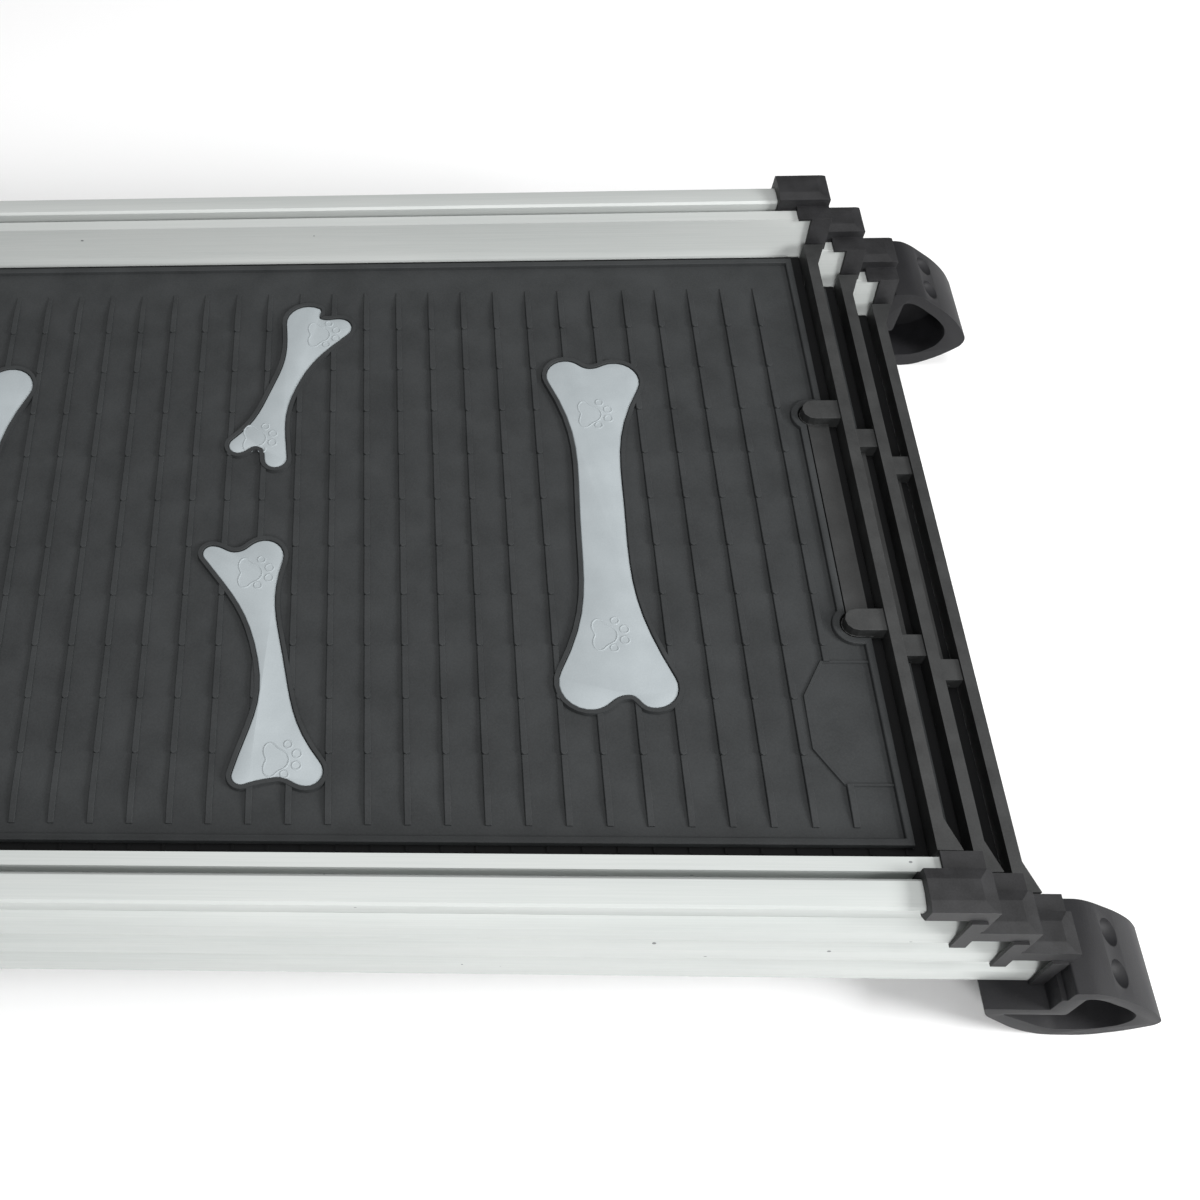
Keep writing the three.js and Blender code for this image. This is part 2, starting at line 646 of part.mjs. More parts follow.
const ALUMINIUM = finish(0xd3d7d4, 0.38, 1);
const DECK_PLASTIC = finish(0x2a2b2c, 0.6, 0);
const CAP_PLASTIC = finish(0x3b3b3d, 0.55, 0);
const BAR_PLASTIC = finish(0x474949, 0.6, 0);
const MAT_RUBBER = finish(0x46494b, 0.85, 0);
const BONE_RUBBER = finish(0xb9c1c4, 0.8, 0);
const FOOT_RUBBER = finish(0x3f3e42, 0.8, 0);
const SCREW_STEEL = finish(0x9a9da0, 0.35, 1);

function addPiece(group, name, solid, surface) {
  const mesh = new THREE.Mesh(geometryFrom(solid), new THREE.MeshStandardMaterial(surface));
  mesh.name = name;
  group.add(mesh);
}

function addSection(ramp, name, index) {
  const group = new THREE.Group();
  group.position.set(index * SECTION_STEP, 0, FLOOR_TO_TOP_MAT - index * STACK_PITCH);
  const isTop = index === 0;
  const isBottom = index === SECTIONS.length - 1;
  const screwEnd = isTop ? -1 : isBottom ? 1 : 0;
  addPiece(group, `${name}_deck`, deck(), DECK_PLASTIC);
  addPiece(group, `${name}_mat`, mat(), MAT_RUBBER);
  for (const bone of BONES) {
    addPiece(group, `${name}_${bone.name}`, boneInlay(bone), BONE_RUBBER);
  }
  addPiece(group, `${name}_crossbar_right`, crossbar(1), BAR_PLASTIC);
  addPiece(group, `${name}_crossbar_left`, crossbar(-1), BAR_PLASTIC);
  for (const [sideName, side] of [["near", -1], ["far", 1]]) {
    addPiece(group, `${name}_rail_${sideName}`, rail(side, screwEnd), ALUMINIUM);
    addPiece(group, `${name}_cap_right_${sideName}`, endCap(side, 1), CAP_PLASTIC);
    if (isTop) {
      addPiece(group, `${name}_cap_left_${sideName}`, endCap(side, -1), CAP_PLASTIC);
    } else {
      addPiece(group, `${name}_plug_left_${sideName}`, endPlug(side), CAP_PLASTIC);
    }
    if (!isBottom) {
      addPiece(group, `${name}_stop_pad_${sideName}`, stopPad(side), CAP_PLASTIC);
    }
    if (isTop) {
      addFoot(group, `vehicle_foot_${sideName}`, side, -1, VEHICLE_FOOT_TAIL);
    }
    if (isBottom) {
      addFoot(group, `ground_foot_${sideName}`, side, 1, GROUND_FOOT_TAIL);
      addPiece(group, `rest_pad_${sideName}`, restPad(side), FOOT_RUBBER);
    }
  }
  ramp.add(group);
}

function addFoot(group, name, side, end, tail) {
  addPiece(group, name, foot(side, end, tail), FOOT_RUBBER);
  screwSpots(side, end).forEach((spot, i) => {
    addPiece(group, `${name}_screw_${i + 1}`, footScrew(spot), SCREW_STEEL);
  });
}

const ramp = new THREE.Group();
SECTIONS.forEach((name, index) => addSection(ramp, name, index));
const middle = ((SECTIONS.length - 1) * SECTION_STEP) / 2;
ramp.position.x = -middle;

export default ramp;
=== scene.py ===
# %% [markdown]
# # A telescoping dog ramp, closed
# Three sections lie stacked on each other. Each has two aluminium rails, a plastic deck, a ribbed rubber
# mat with bone-shaped inlays, a crossbar at each end and black end caps. The solid parts come from an
# engineering model, so this file gives them their finish and makes what the model leaves plain: the mats'
# ribs, the bones, the feet and the studio around them.

# %% Load the engineering model
import json
import math

import bmesh
import bpy
from mathutils import Matrix, Vector

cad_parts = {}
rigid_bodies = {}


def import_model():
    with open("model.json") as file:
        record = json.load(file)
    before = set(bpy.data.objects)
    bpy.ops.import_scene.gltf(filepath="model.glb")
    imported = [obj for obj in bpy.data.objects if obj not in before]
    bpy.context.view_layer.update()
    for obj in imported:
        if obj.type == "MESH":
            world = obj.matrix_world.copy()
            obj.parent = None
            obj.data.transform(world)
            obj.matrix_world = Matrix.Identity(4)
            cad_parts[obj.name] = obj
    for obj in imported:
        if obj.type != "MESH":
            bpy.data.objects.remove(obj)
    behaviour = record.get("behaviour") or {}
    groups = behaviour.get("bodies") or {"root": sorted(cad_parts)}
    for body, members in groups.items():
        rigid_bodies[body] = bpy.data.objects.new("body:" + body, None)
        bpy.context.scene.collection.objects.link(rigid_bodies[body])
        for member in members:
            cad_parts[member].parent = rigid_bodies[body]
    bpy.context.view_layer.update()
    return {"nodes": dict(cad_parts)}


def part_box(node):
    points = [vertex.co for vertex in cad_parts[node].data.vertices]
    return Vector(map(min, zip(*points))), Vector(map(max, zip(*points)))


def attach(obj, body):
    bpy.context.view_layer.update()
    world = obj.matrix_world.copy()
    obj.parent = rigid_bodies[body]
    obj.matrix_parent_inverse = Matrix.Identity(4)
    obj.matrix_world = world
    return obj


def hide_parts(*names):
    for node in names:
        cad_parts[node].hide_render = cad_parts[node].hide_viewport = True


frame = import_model()
MM = 0.001
SECTIONS = ("top", "middle", "bottom")
SIDES = ("near", "far")

# %% [markdown]
# ## Small helpers for materials
# Colours are easiest to judge as sRGB hex values, and the shader wants them linear, so one function turns
# one into the other. Another adds a shader node with its settings and links in one line. Every length in a
# pattern is written in millimetres: a texture's scale is how many cells fit into a metre, so a grain of
# 1 mm has a scale of 1000.


# %% Helpers for colours, nodes and pattern sizes
def linear(srgb):
    channels = [int(srgb[i : i + 2], 16) / 255 for i in (1, 3, 5)]
    return [c / 12.92 if c <= 0.04045 else ((c + 0.055) / 1.055) ** 2.4 for c in channels] + [1.0]


def add(tree, kind, links=None, **settings):
    node = tree.nodes.new(kind)
    for name, value in settings.items():
        setattr(node, name, value)
    for socket, value in (links or {}).items():
        target = node.inputs[socket]
        if isinstance(value, bpy.types.NodeSocket):
            tree.links.new(value, target)
        else:
            target.default_value = value
    return node


def cells_per_metre(size_mm):
    return 1 / (size_mm * MM)


def new_material(name, **values):
    material = bpy.data.materials.new(name)
    material.use_nodes = True
    shader = material.node_tree.nodes["Principled BSDF"]
    for socket, value in values.items():
        shader.inputs[socket.replace("_", " ")].default_value = value
    return material, material.node_tree, shader


def stretched(tree, along, across):
    """Object coordinates, scaled so that a pattern is longer along the ramp than across it."""
    place = add(tree, "ShaderNodeTexCoord")
    scale = (cells_per_metre(along), cells_per_metre(across), cells_per_metre(across))
    return add(tree, "ShaderNodeMapping", {"Vector": place.outputs["Object"], "Scale": scale}).outputs[0]


def two_tone(tree, factor, dark, light, low=0.35, high=0.65):
    ramp = add(tree, "ShaderNodeValToRGB", {"Fac": factor})
    ramp.color_ramp.elements[0].position = low
    ramp.color_ramp.elements[0].color = linear(dark)
    ramp.color_ramp.elements[1].position = high
    ramp.color_ramp.elements[1].color = linear(light)
    return ramp.outputs["Color"]


# %% [markdown]
# ## Anodised aluminium
# The rails are extruded through a die, brushed lightly and clear anodised. The die leaves very fine lines
# along the rail, and the acid bath before anodising makes the surface satin, so highlights are broad and
# milky. The clear oxide scatters light as well as letting the metal shine through, so the surface is drawn
# as part metal, part pale coating. Handling leaves a few small dark specks. The lines are about 0.1 mm apart
# on the real rail, and are drawn 0.5 mm apart so that they still show.


# %% Anodised aluminium
def anodised_aluminium():
    material, tree, shader = new_material("anodised_aluminium", Metallic=0.2)
    drawn = {"Vector": stretched(tree, 60, 0.5), "Scale": 1.0, "Detail": 3.0}
    lines = add(tree, "ShaderNodeTexNoise", drawn)
    bath = {"Vector": stretched(tree, 180, 60), "Scale": 1.0, "Detail": 2.0}
    cloud = add(tree, "ShaderNodeTexNoise", bath)
    both = add(tree, "ShaderNodeMath", {0: lines.outputs["Fac"], 1: cloud.outputs["Fac"]}, operation="ADD")
    half = add(tree, "ShaderNodeMath", {0: both.outputs[0], 1: 0.5}, operation="MULTIPLY")
    metal = two_tone(tree, half.outputs[0], "#b4b8b6", "#bcbfbd", 0.4, 0.6)
    spots = add(tree, "ShaderNodeTexVoronoi", {"Vector": stretched(tree, 26, 15), "Scale": 1.0})
    speck = add(tree, "ShaderNodeMath", {0: spots.outputs["Distance"], 1: 0.035}, operation="LESS_THAN")
    # A colour mix has its factor at input 0, its two colours at 6 and 7, and its colour at output 2.
    colours = {0: speck.outputs[0], 6: metal, 7: linear("#77797a")}
    mixed = add(tree, "ShaderNodeMix", colours, data_type="RGBA")
    tree.links.new(mixed.outputs[2], shader.inputs["Base Color"])
    rough = add(tree, "ShaderNodeMapRange", {"Value": half.outputs[0], "To Min": 0.5, "To Max": 0.6})
    tree.links.new(rough.outputs[0], shader.inputs["Roughness"])
    relief = {"Height": lines.outputs["Fac"], "Strength": 0.08, "Distance": 0.02 * MM}
    bump = add(tree, "ShaderNodeBump", relief)
    tree.links.new(bump.outputs[0], shader.inputs["Normal"])
    return material


ALUMINIUM = anodised_aluminium()
print("made", ALUMINIUM.name)

# %% [markdown]
# ## Moulded plastics and rubbers
# The caps are ABS from a spark-eroded mould: a dull, pebbly black with paler scuffs. The crossbars are
# glass-filled nylon, which flows unevenly and looks a little cloudy. The mat and the feet are moulded
# rubber, duller still, with dust in the grain. They are all the same kind of surface with other numbers, so
# one function makes them: a fine grain as bump, a cloudy colour, and a roughness that follows the cloud.
# Real moulded grain is about 0.2 mm; it is drawn at 0.6 to 1 mm, the finest that a picture of a whole ramp
# can hold.


# %% Moulded materials
GRAIN_SHARE = 0.35  # how much of the colour's change comes from the grain
ROUGH_SPREAD = 0.07


def moulded(name, dark, light, rough, grain_mm, cloud_mm, depth_mm, **values):
    material, tree, shader = new_material(name, **values)
    pebbles = {"Vector": stretched(tree, grain_mm, grain_mm), "Scale": 1.0, "Detail": 2.0}
    grain = add(tree, "ShaderNodeTexNoise", pebbles)
    flow = {"Vector": stretched(tree, cloud_mm, cloud_mm), "Scale": 1.0, "Detail": 5.0}
    cloud = add(tree, "ShaderNodeTexNoise", flow)
    some = add(tree, "ShaderNodeMath", {0: grain.outputs["Fac"], 1: GRAIN_SHARE}, operation="MULTIPLY")
    most = add(tree, "ShaderNodeMath", {0: cloud.outputs["Fac"], 1: 1 - GRAIN_SHARE}, operation="MULTIPLY")
    tone = add(tree, "ShaderNodeMath", {0: some.outputs[0], 1: most.outputs[0]}, operation="ADD")
    tree.links.new(two_tone(tree, tone.outputs[0], dark, light), shader.inputs["Base Color"])
    limits = {
        "Value": cloud.outputs["Fac"],
        "To Min": rough - ROUGH_SPREAD,
        "To Max": rough + ROUGH_SPREAD,
    }
    tree.links.new(add(tree, "ShaderNodeMapRange", limits).outputs[0], shader.inputs["Roughness"])
    relief = {"Height": grain.outputs["Fac"], "Strength": 0.5, "Distance": depth_mm * MM}
    bump = add(tree, "ShaderNodeBump", relief)
    tree.links.new(bump.outputs[0], shader.inputs["Normal"])
    return material


ABS = moulded("spark_textured_abs", "#0e0e10", "#222224", 0.58, 0.8, 9, 0.10, IOR=1.45)
NYLON = moulded("glass_filled_nylon", "#1b1c1c", "#2e2f2f", 0.52, 0.8, 14, 0.08, IOR=1.53)
PANEL = moulded("polypropylene_panel", "#070708", "#0d0e0f", 0.8, 0.9, 20, 0.06, IOR=1.3)
MAT_RUBBER = moulded("ribbed_mat_rubber", "#252728", "#313334", 0.72, 0.9, 22, 0.10, IOR=1.4)
BONE_RUBBER = moulded("grey_inlay_rubber", "#969da0", "#9fa6a9", 0.66, 0.7, 18, 0.05, IOR=1.45)
FOOT_RUBBER = moulded("moulded_foot_rubber", "#0d0d10", "#19191c", 0.62, 0.8, 16, 0.12, IOR=1.4)
print("made", [m.name for m in bpy.data.materials])

# %% [markdown]
# ## Zinc-plated steel
# The feet's screws are steel, barrel-plated in zinc. The plating has a fine mottle that is a little duller in
# places, which a cloud of 1.5 mm gives to both the colour and the roughness.


# %% Zinc-plated steel
def zinc_plated_steel():
    material, tree, shader = new_material("zinc_plated_steel", Metallic=1.0)
    mottle = {"Vector": stretched(tree, 1.5, 1.5), "Scale": 1.0, "Detail": 3.0}
    cloud = add(tree, "ShaderNodeTexNoise", mottle)
    tree.links.new(two_tone(tree, cloud.outputs["Fac"], "#a9abad", "#c3c5c6"), shader.inputs["Base Color"])
    limits = {"Value": cloud.outputs["Fac"], "To Min": 0.28, "To Max": 0.42}
    tree.links.new(add(tree, "ShaderNodeMapRange", limits).outputs[0], shader.inputs["Roughness"])
    return material


STEEL = zinc_plated_steel()
print("made", STEEL.name)

# %% [markdown]
# ## Helpers for shapes
# Most pieces are outlines with thickness. A loft joins a row of outlines with the same number of points,
# and a plate closes an outline that may have holes. An outline is widened by moving each point along the
# mean of its two edges' normals. A finished mesh is shaded smooth, with its sharper edges kept sharp.


# %% Shape helpers
def widened(points, distance):
    """The outline moved outward by distance. Points run anticlockwise."""
    out = []
    for i, (x, y) in enumerate(points):
        (ax, ay), (bx, by) = points[i - 1], points[(i + 1) % len(points)]
        before = Vector((y - ay, ax - x)).normalized()
        after = Vector((by - y, x - bx)).normalized()
        mean = before + after
        mean = mean / max(mean.length_squared / 2, 0.35)
        out.append((x + mean.x * distance, y + mean.y * distance))
    return out


def loft(bm, rings, closed=True, cap_first=False, cap_last=False):
    """Faces between rings of 3-D points, each ring with the same number of points."""
    rows = [[bm.verts.new(p) for p in ring] for ring in rings]
    count = len(rows[0])
    for low, high in zip(rows, rows[1:]):
        for i in range(count if closed else count - 1):
            j = (i + 1) % count
            bm.faces.new((low[i], low[j], high[j], high[i]))
    if cap_first:
        bm.faces.new(rows[0][::-1])
    if cap_last:
        bm.faces.new(rows[-1])
    return rows


def ring_at(points, z):
    return [(x * MM, y * MM, z * MM) for x, y in points]


def band(bm, outline, profile):
    """A raised band along an outline. The profile is (distance outward, height) in order."""
    loft(bm, [ring_at(widened(outline, out), z) for out, z in profile])


def plate(bm, outline, holes, z):
    """A flat sheet with holes, facing up."""
    edges = []
    for points in [outline, *holes]:
        verts = [bm.verts.new(p) for p in ring_at(points, z)]
        edges += [bm.edges.new((a, b)) for a, b in zip(verts, verts[1:] + verts[:1])]
    made = bmesh.ops.triangle_fill(bm, edges=edges, use_beauty=True, normal=(0, 0, 1))
    for face in made["geom"]:
        if isinstance(face, bmesh.types.BMFace) and face.normal.z < 0:
            face.normal_flip()


def mesh_from(name, bm, material, sharp_degrees=38):
    """A finished mesh, shaded smooth over the edges that bend less than sharp_degrees."""
    mesh = bpy.data.meshes.new(name)
    bm.normal_update()
    bm.to_mesh(mesh)
    bm.free()
    mesh.shade_smooth()
    mesh.set_sharp_from_angle(angle=math.radians(sharp_degrees))
    mesh.materials.append(material)
    return mesh


def place(name, mesh, body, slot, at=(0, 0, 0)):
    piece = bpy.data.objects.new(name, mesh)
    bpy.context.scene.collection.objects.link(piece)
    piece.location = at
    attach(piece, body)
    return piece


# %% [markdown]
# ## Where each section lies
# All the mat's details are drawn once, from the middle of the mat's top, and each section uses the same
# mesh. The three places come from the engineering model's mats.

# %% Section origins and main sizes
MAT_THICKNESS = 3.3
HALF_LENGTH = 284.0
HALF_WIDTH = 177.0
FIELD = -2.1  # the mat between its ribs lies this far below the ribs' tops


def section_origin(section):
    low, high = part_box(f"{section}_mat")
    return Vector(((low.x + high.x) / 2, (low.y + high.y) / 2, high.z))


ORIGINS = {section: section_origin(section) for section in SECTIONS}
for section, origin in ORIGINS.items():
    print(section, [round(v / MM, 1) for v in origin])

# %% [markdown]
# ## The bones' outlines
# The three sizes of bone are drawn by hand on the real mat, and no two ends are alike. So each has four
# round lobes with their own centre and radius, two shallow notches and a waist. An arc goes round every
# lobe, and Bezier curves join the arcs through the notches and the waist. A bone is drawn upright, then
# turned and moved to its place on the mat.

# %% Arcs and curves
LOBE_ARCS = ((-25, 100), (80, 205), (155, 280), (260, 385))  # degrees round each lobe
PULL = 0.42  # a curve's handles, as a share of the distance that it spans
QUARTER = 90
LOBE_STEPS = 8


def arc(x, y, radius, start, stop, steps):
    angles = [math.radians(start + (stop - start) * i / steps) for i in range(steps + 1)]
    return [(x + radius * math.cos(a), y + radius * math.sin(a)) for a in angles]


def heading(degrees):
    return Vector((-math.sin(math.radians(degrees)), math.cos(math.radians(degrees))))


def curve_between(start, start_heading, stop, stop_heading, steps=8):
    start, stop = Vector(start), Vector(stop)
    pull = (stop - start).length * PULL
    handles = (start, start + start_heading * pull, stop - stop_heading * pull, stop)
    points = []
    for i in range(1, steps):
        t = i / steps
        weights = ((1 - t) ** 3, 3 * t * (1 - t) ** 2, 3 * t * t * (1 - t), t**3)
        points.append(tuple(sum((w * h for w, h in zip(weights, handles)), Vector((0, 0)))))
    return points


# %% Bone outlines
# A lobe is (x, y, radius), a notch (x, y), and the waist is x on its two sides, in mm.
LARGE = {
    "lobes": ((11, 92, 12.5), (-15, 95, 10.5), (-11.5, -93.5, 14), (18.5, -94, 11.5)),
    "notches": ((-2.5, 100.5), (7, -99)),
    "waist": (11, -11.5),
}
MEDIUM = {
    "lobes": ((11.5, 58.5, 9.5), (-14.5, 65, 4.5), (-17, -59.5, 4.5), (13, -62.5, 7.5)),
    "notches": ((-1.5, 63.5), (-2, -63)),
    "waist": (11.5, -0.5),
}
SMALL = {
    "lobes": ((10.5, 49, 6.5), (-7.5, 46.5, 12), (-9.5, -46.5, 5), (12, -47.5, 6)),
    "notches": ((-1.5, 51.5), (1, -43.5)),
    "waist": (4, -8),
}
# Each bone is a size, the x and y of its middle on the mat, and its turn in degrees.
BONES = {
    "bone_right": (LARGE, 164, -3, -2),
    "bone_near": (MEDIUM, -7, -83, 10.4),
    "bone_far": (SMALL, 3, 87, -21),
    "bone_left": (LARGE, -164, -3, -2),
}


def bone_outline(size, x, y, turn):
    stops = []
    breaks = [(size["waist"][0], 0), size["notches"][0], (size["waist"][1], 0), size["notches"][1]]
    for i, (start, stop) in enumerate(LOBE_ARCS):
        stops.append(([breaks[i]], heading(QUARTER * i), heading(QUARTER * i)))
        lobe = arc(*size["lobes"][i], start, stop, LOBE_STEPS)
        stops.append((lobe, heading(start), heading(stop)))
    points = []
    for i, (run, _, leaving) in enumerate(stops):
        following, arriving, _ = stops[(i + 1) % len(stops)]
        points += run + curve_between(run[-1], leaving, following[0], arriving)
    c, s = math.cos(math.radians(turn)), math.sin(math.radians(turn))
    return [(x + u * c - v * s, y + u * s + v * c) for u, v in points]


def signed_area(points):
    return sum(a[0] * b[1] - b[0] * a[1] for a, b in zip(points, points[1:] + points[:1])) / 2


def anticlockwise(points):
    return points if signed_area(points) > 0 else points[::-1]


OUTLINES = {name: bone_outline(*bone) for name, bone in BONES.items()}
for name, outline in OUTLINES.items():
    print(name, "points", len(outline), "area cm2", round(signed_area(outline) / 100, 1))

# %% [markdown]
# ## The mat
# The real mat is one moulding. Low ribs run across it for grip, each in short lengths that overlap like
# shingles: every length rises towards its near end, which is round, and the next one starts lower and
# narrower. A rim runs round the mat and round its two notches, and a raised edge frames each bone. One
# corner has a blank plate outlined by a low bead.
#
# It could be carved with booleans or displaced by a height texture. Building the ribs as small lofts keeps
# their round ends crisp and lets a rib stop exactly where a bone's frame begins.

# %% The mat's outline with its notches
LUG_X, LUG_Y, NOTCH = 277.7, 64.0, 7.2  # the lugs' middle, and the notches' radius round it
SETBACK = HALF_LENGTH - 10  # between the notches the mat ends earlier
NOTCH_STEPS = 14


def mat_outline():
    meet = math.degrees(math.acos((SETBACK - LUG_X) / NOTCH))
    near = arc(LUG_X, -LUG_Y, NOTCH, -90, meet - 360, NOTCH_STEPS)
    far = [(x, -y) for x, y in near][::-1]
    low = near[0][1]
    start = [(HALF_LENGTH, -HALF_WIDTH), (HALF_LENGTH, low)]
    right = start + near + far + [(x, -y) for x, y in start[::-1]]
    return anticlockwise(right + [(-x, y) for x, y in right[::-1]])


MAT_OUTLINE = mat_outline()
POCKET = 0.3  # the gap round a bone
FRAME_WIDTH = 2.4
print("mat outline", len(MAT_OUTLINE), "points")


# %% Where a rib must stop
SHORTEST_RIB = 0.8


def crossings(outline, x):
    """The stretches of y in which the line at x runs inside the outline."""
    found = []
    for (ax, ay), (bx, by) in zip(outline, outline[1:] + outline[:1]):
        if (ax - x) * (bx - x) < 0:
            found.append(ay + (x - ax) * (by - ay) / (bx - ax))
    found.sort()
    return list(zip(found[::2], found[1::2]))


def free_stretches(x, low, high, blocked):
    stretches = []
    start = low
    for a, b in sorted(blocked):
        if b <= start or a >= high:
            continue
        if a > start:
            stretches.append((start, a))
        start = max(start, b)
    if start < high:
        stretches.append((start, high))
    return [(a, b) for a, b in stretches if b - a > SHORTEST_RIB]


# %% One length of rib
RIB_PITCH = 18.0
RIBS = 30
RIB_FAR, RIB_FULL_FAR = 155.7, 143.0  # where a row of ribs ends, and where it has its full height
RIB_NEAR, RIB_FULL_NEAR = -168.0, -155.0
FIRST_BREAK, LENGTH_OF_RIB = 126.8, 28.9
RIB_HALF = 1.65
RIB_HIGH = -FIELD
START_WIDTH, START_HEIGHT = 0.86, 0.66  # where a length starts, as shares of its size where it ends


def rib_size(y, start, stop):
    """Half the width and the height of a rib at y, on the length that runs from start down to stop."""
    share = (start - y) / LENGTH_OF_RIB
    half = RIB_HALF * (START_WIDTH + (1 - START_WIDTH) * share)
    height = RIB_HIGH * (START_HEIGHT + (1 - START_HEIGHT) * share)
    to_end = y - stop
    if to_end < RIB_HALF and stop > RIB_NEAR:
        end = math.sqrt(max(0.0, 1 - (1 - to_end / RIB_HALF) ** 2))
        half *= max(end, 0.12)
        height *= 0.85 + 0.15 * end
    far_fade = (RIB_FAR - y) / (RIB_FAR - RIB_FULL_FAR)
    near_fade = (y - RIB_NEAR) / (RIB_FULL_NEAR - RIB_NEAR)
    fade = min(1.0, far_fade, near_fade)
    return half * (0.9 + 0.1 * fade), height * (0.3 + 0.7 * max(fade, 0.0))


def add_rib(bm, x, start, stop, low, high):
    stations = [start, start - 3, start - 9, (start + stop) / 2, stop + 5, stop + RIB_HALF]
    stations += [stop + RIB_HALF * s for s in (0.6, 0.3, 0.1, 0.0)]
    if start >= RIB_FAR:
        stations += [RIB_FULL_FAR]
    if stop <= RIB_NEAR:
        stations += [RIB_FULL_NEAR]
    stations = sorted({s for s in stations if low < s < high} | {low, high}, reverse=True)
    rows = []
    for y in stations:
        half, height = rib_size(y, start, stop)
        top = FIELD + height
        across = [(-half, FIELD - 0.2), (-half * 0.97, top - 0.25), (-half * 0.8, top)]
        across += [(-u, z) for u, z in across[::-1]]
        rows.append([((x + u) * MM, y * MM, z * MM) for u, z in across])
    loft(bm, rows, cap_first=True, cap_last=True)


# %% [markdown]
# The last rib on the right is interrupted by the blank plate in the near corner, and all the ribs stop at
# the middle of a bone's frame.

# %% All the ribs of a mat
PLATE = [
    (282, -147.4),
    (282, -83.9),
    (258.7, -83.9),
    (248.4, -102.2),
    (248.2, -129.3),
    (259.4, -147.4),
]


def add_ribs(bm):
    frames = [widened(outline, POCKET + FRAME_WIDTH / 2) for outline in OUTLINES.values()]
    count = 0
    for i in range(RIBS):
        x = (i - (RIBS - 1) / 2) * RIB_PITCH
        blocked = [stretch for outline in [*frames, PLATE] for stretch in crossings(outline, x)]
        start = RIB_FAR
        stop = FIRST_BREAK
        while start > RIB_NEAR + 1:
            if stop - LENGTH_OF_RIB / 2 < RIB_NEAR:
                stop = RIB_NEAR
            for low, high in free_stretches(x, stop, start, blocked):
                add_rib(bm, x, start, stop, low, high)
                count += 1
            start, stop = stop, stop - LENGTH_OF_RIB
    return count


# %% The whole mat
# Each profile is a row of (distance outward, height), and its foot sinks a little way into the mat.
FOOTING = FIELD - 0.1
RIM_ROUND = [(0, -MAT_THICKNESS), (0, -0.5), (-0.15, -0.15), (-0.5, 0)]
RIM = [*RIM_ROUND, (-3.0, 0), (-3.4, -0.25), (-3.7, FOOTING)]
FRAME_INSIDE = [(POCKET, -2.4), (POCKET, -0.2), (POCKET + 0.25, 0)]
BONE_FRAME = [*FRAME_INSIDE, (FRAME_WIDTH, 0), (FRAME_WIDTH + 0.4, FOOTING)]
PLATE_BEAD = [(-0.9, FOOTING), (-0.5, FIELD + 0.9), (0.5, FIELD + 0.9), (0.9, FOOTING)]


def mat_mesh():
    bm = bmesh.new()
    holes = [widened(outline, POCKET) for outline in OUTLINES.values()]
    plate(bm, MAT_OUTLINE, holes, FIELD)
    band(bm, MAT_OUTLINE, RIM)
    for outline in OUTLINES.values():
        band(bm, outline, BONE_FRAME[::-1])
    band(bm, anticlockwise(PLATE), PLATE_BEAD[::-1])
    count = add_ribs(bm)
    print("lengths of rib", count, "faces", len(bm.faces))
    return mesh_from("ribbed_mat", bm, MAT_RUBBER, 32)


MAT_MESH = mat_mesh()
for section in SECTIONS:
    mat = place(f"{section}_ribbed_mat", MAT_MESH, f"{section}_section", "mat_rubber", ORIGINS[section])
    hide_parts(f"{section}_mat")

# %% [markdown]
# ## The bone inlays
# They are moulded in grey rubber and pressed into the mat. Each is a low pillow: its edge is rolled over,
# and the top is flat and sits just under its frame. A paw is drawn near both ends with a fine raised line,
# as a heart-shaped pad and four round toes.

# %% Bone inlays
BONE_EDGE = [(0, -2.4), (0, -1.0), (-0.2, -0.7), (-0.5, -0.6)]


def bone_mesh(name, outline):
    bm = bmesh.new()
    rings = [ring_at(widened(outline, out), z) for out, z in BONE_EDGE]
    loft(bm, rings, cap_last=True)
    bm.normal_update()
    bmesh.ops.triangulate(bm, faces=[f for f in bm.faces if len(f.verts) > 4], ngon_method="EAR_CLIP")
    return mesh_from(name, bm, BONE_RUBBER, 50)


BONE_MESHES = {name: bone_mesh(name, outline) for name, outline in OUTLINES.items()}
for section in SECTIONS:
    for name, mesh in BONE_MESHES.items():
        bone = place(f"{section}_{name}_inlay", mesh, f"{section}_section", "grey_rubber", ORIGINS[section])
        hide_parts(f"{section}_{name}")

# %% Paw outlines
# A toe is (x, y, radius) from the pad's middle, and a paw is placed by the middle of its pad.
PAW_LINE = [(-0.5, -0.65), (-0.2, -0.34), (0.2, -0.34), (0.5, -0.65)]
PAW_TOES = [(6.9, 7.9, 1.9), (11.1, 3.1, 2.1), (10.9, -2.9, 2.1), (5.5, -7.3, 1.9)]
PAWS = {
    "bone_right": [(161.5, 66), (157.5, -69.5)],
    "bone_near": [(-14.5, -33.5), (1.5, -136.5)],
    "bone_far": [(17.5, 124), (-15.5, 51.5)],
    "bone_left": [(-166.5, 66), (-170.5, -69.5)],
}


PAD_POINTS = 40


def pad_outline(x, y):
    """A heart lying on its side, with its notch away from the toes."""
    out = []
    for i in range(PAD_POINTS):
        angle = math.radians(360 / PAD_POINTS * i)
        away = max(0.0, -math.cos(angle))
        radius = 6.6 + 1.2 * math.cos(3 * angle) * (1 - away) - 3.2 * away**6
        out.append((x + radius * math.cos(angle) * 0.95, y + radius * math.sin(angle) * 1.25))
    return out


def paws_mesh():
    bm = bmesh.new()
    for spots in PAWS.values():
        for x, y in spots:
            band(bm, pad_outline(x, y), PAW_LINE[::-1])
            for dx, dy, radius in PAW_TOES:
                band(bm, arc(x + dx, y + dy, radius, 0, 340, 17), PAW_LINE[::-1])
    return mesh_from("paw_outlines", bm, BONE_RUBBER, 60)


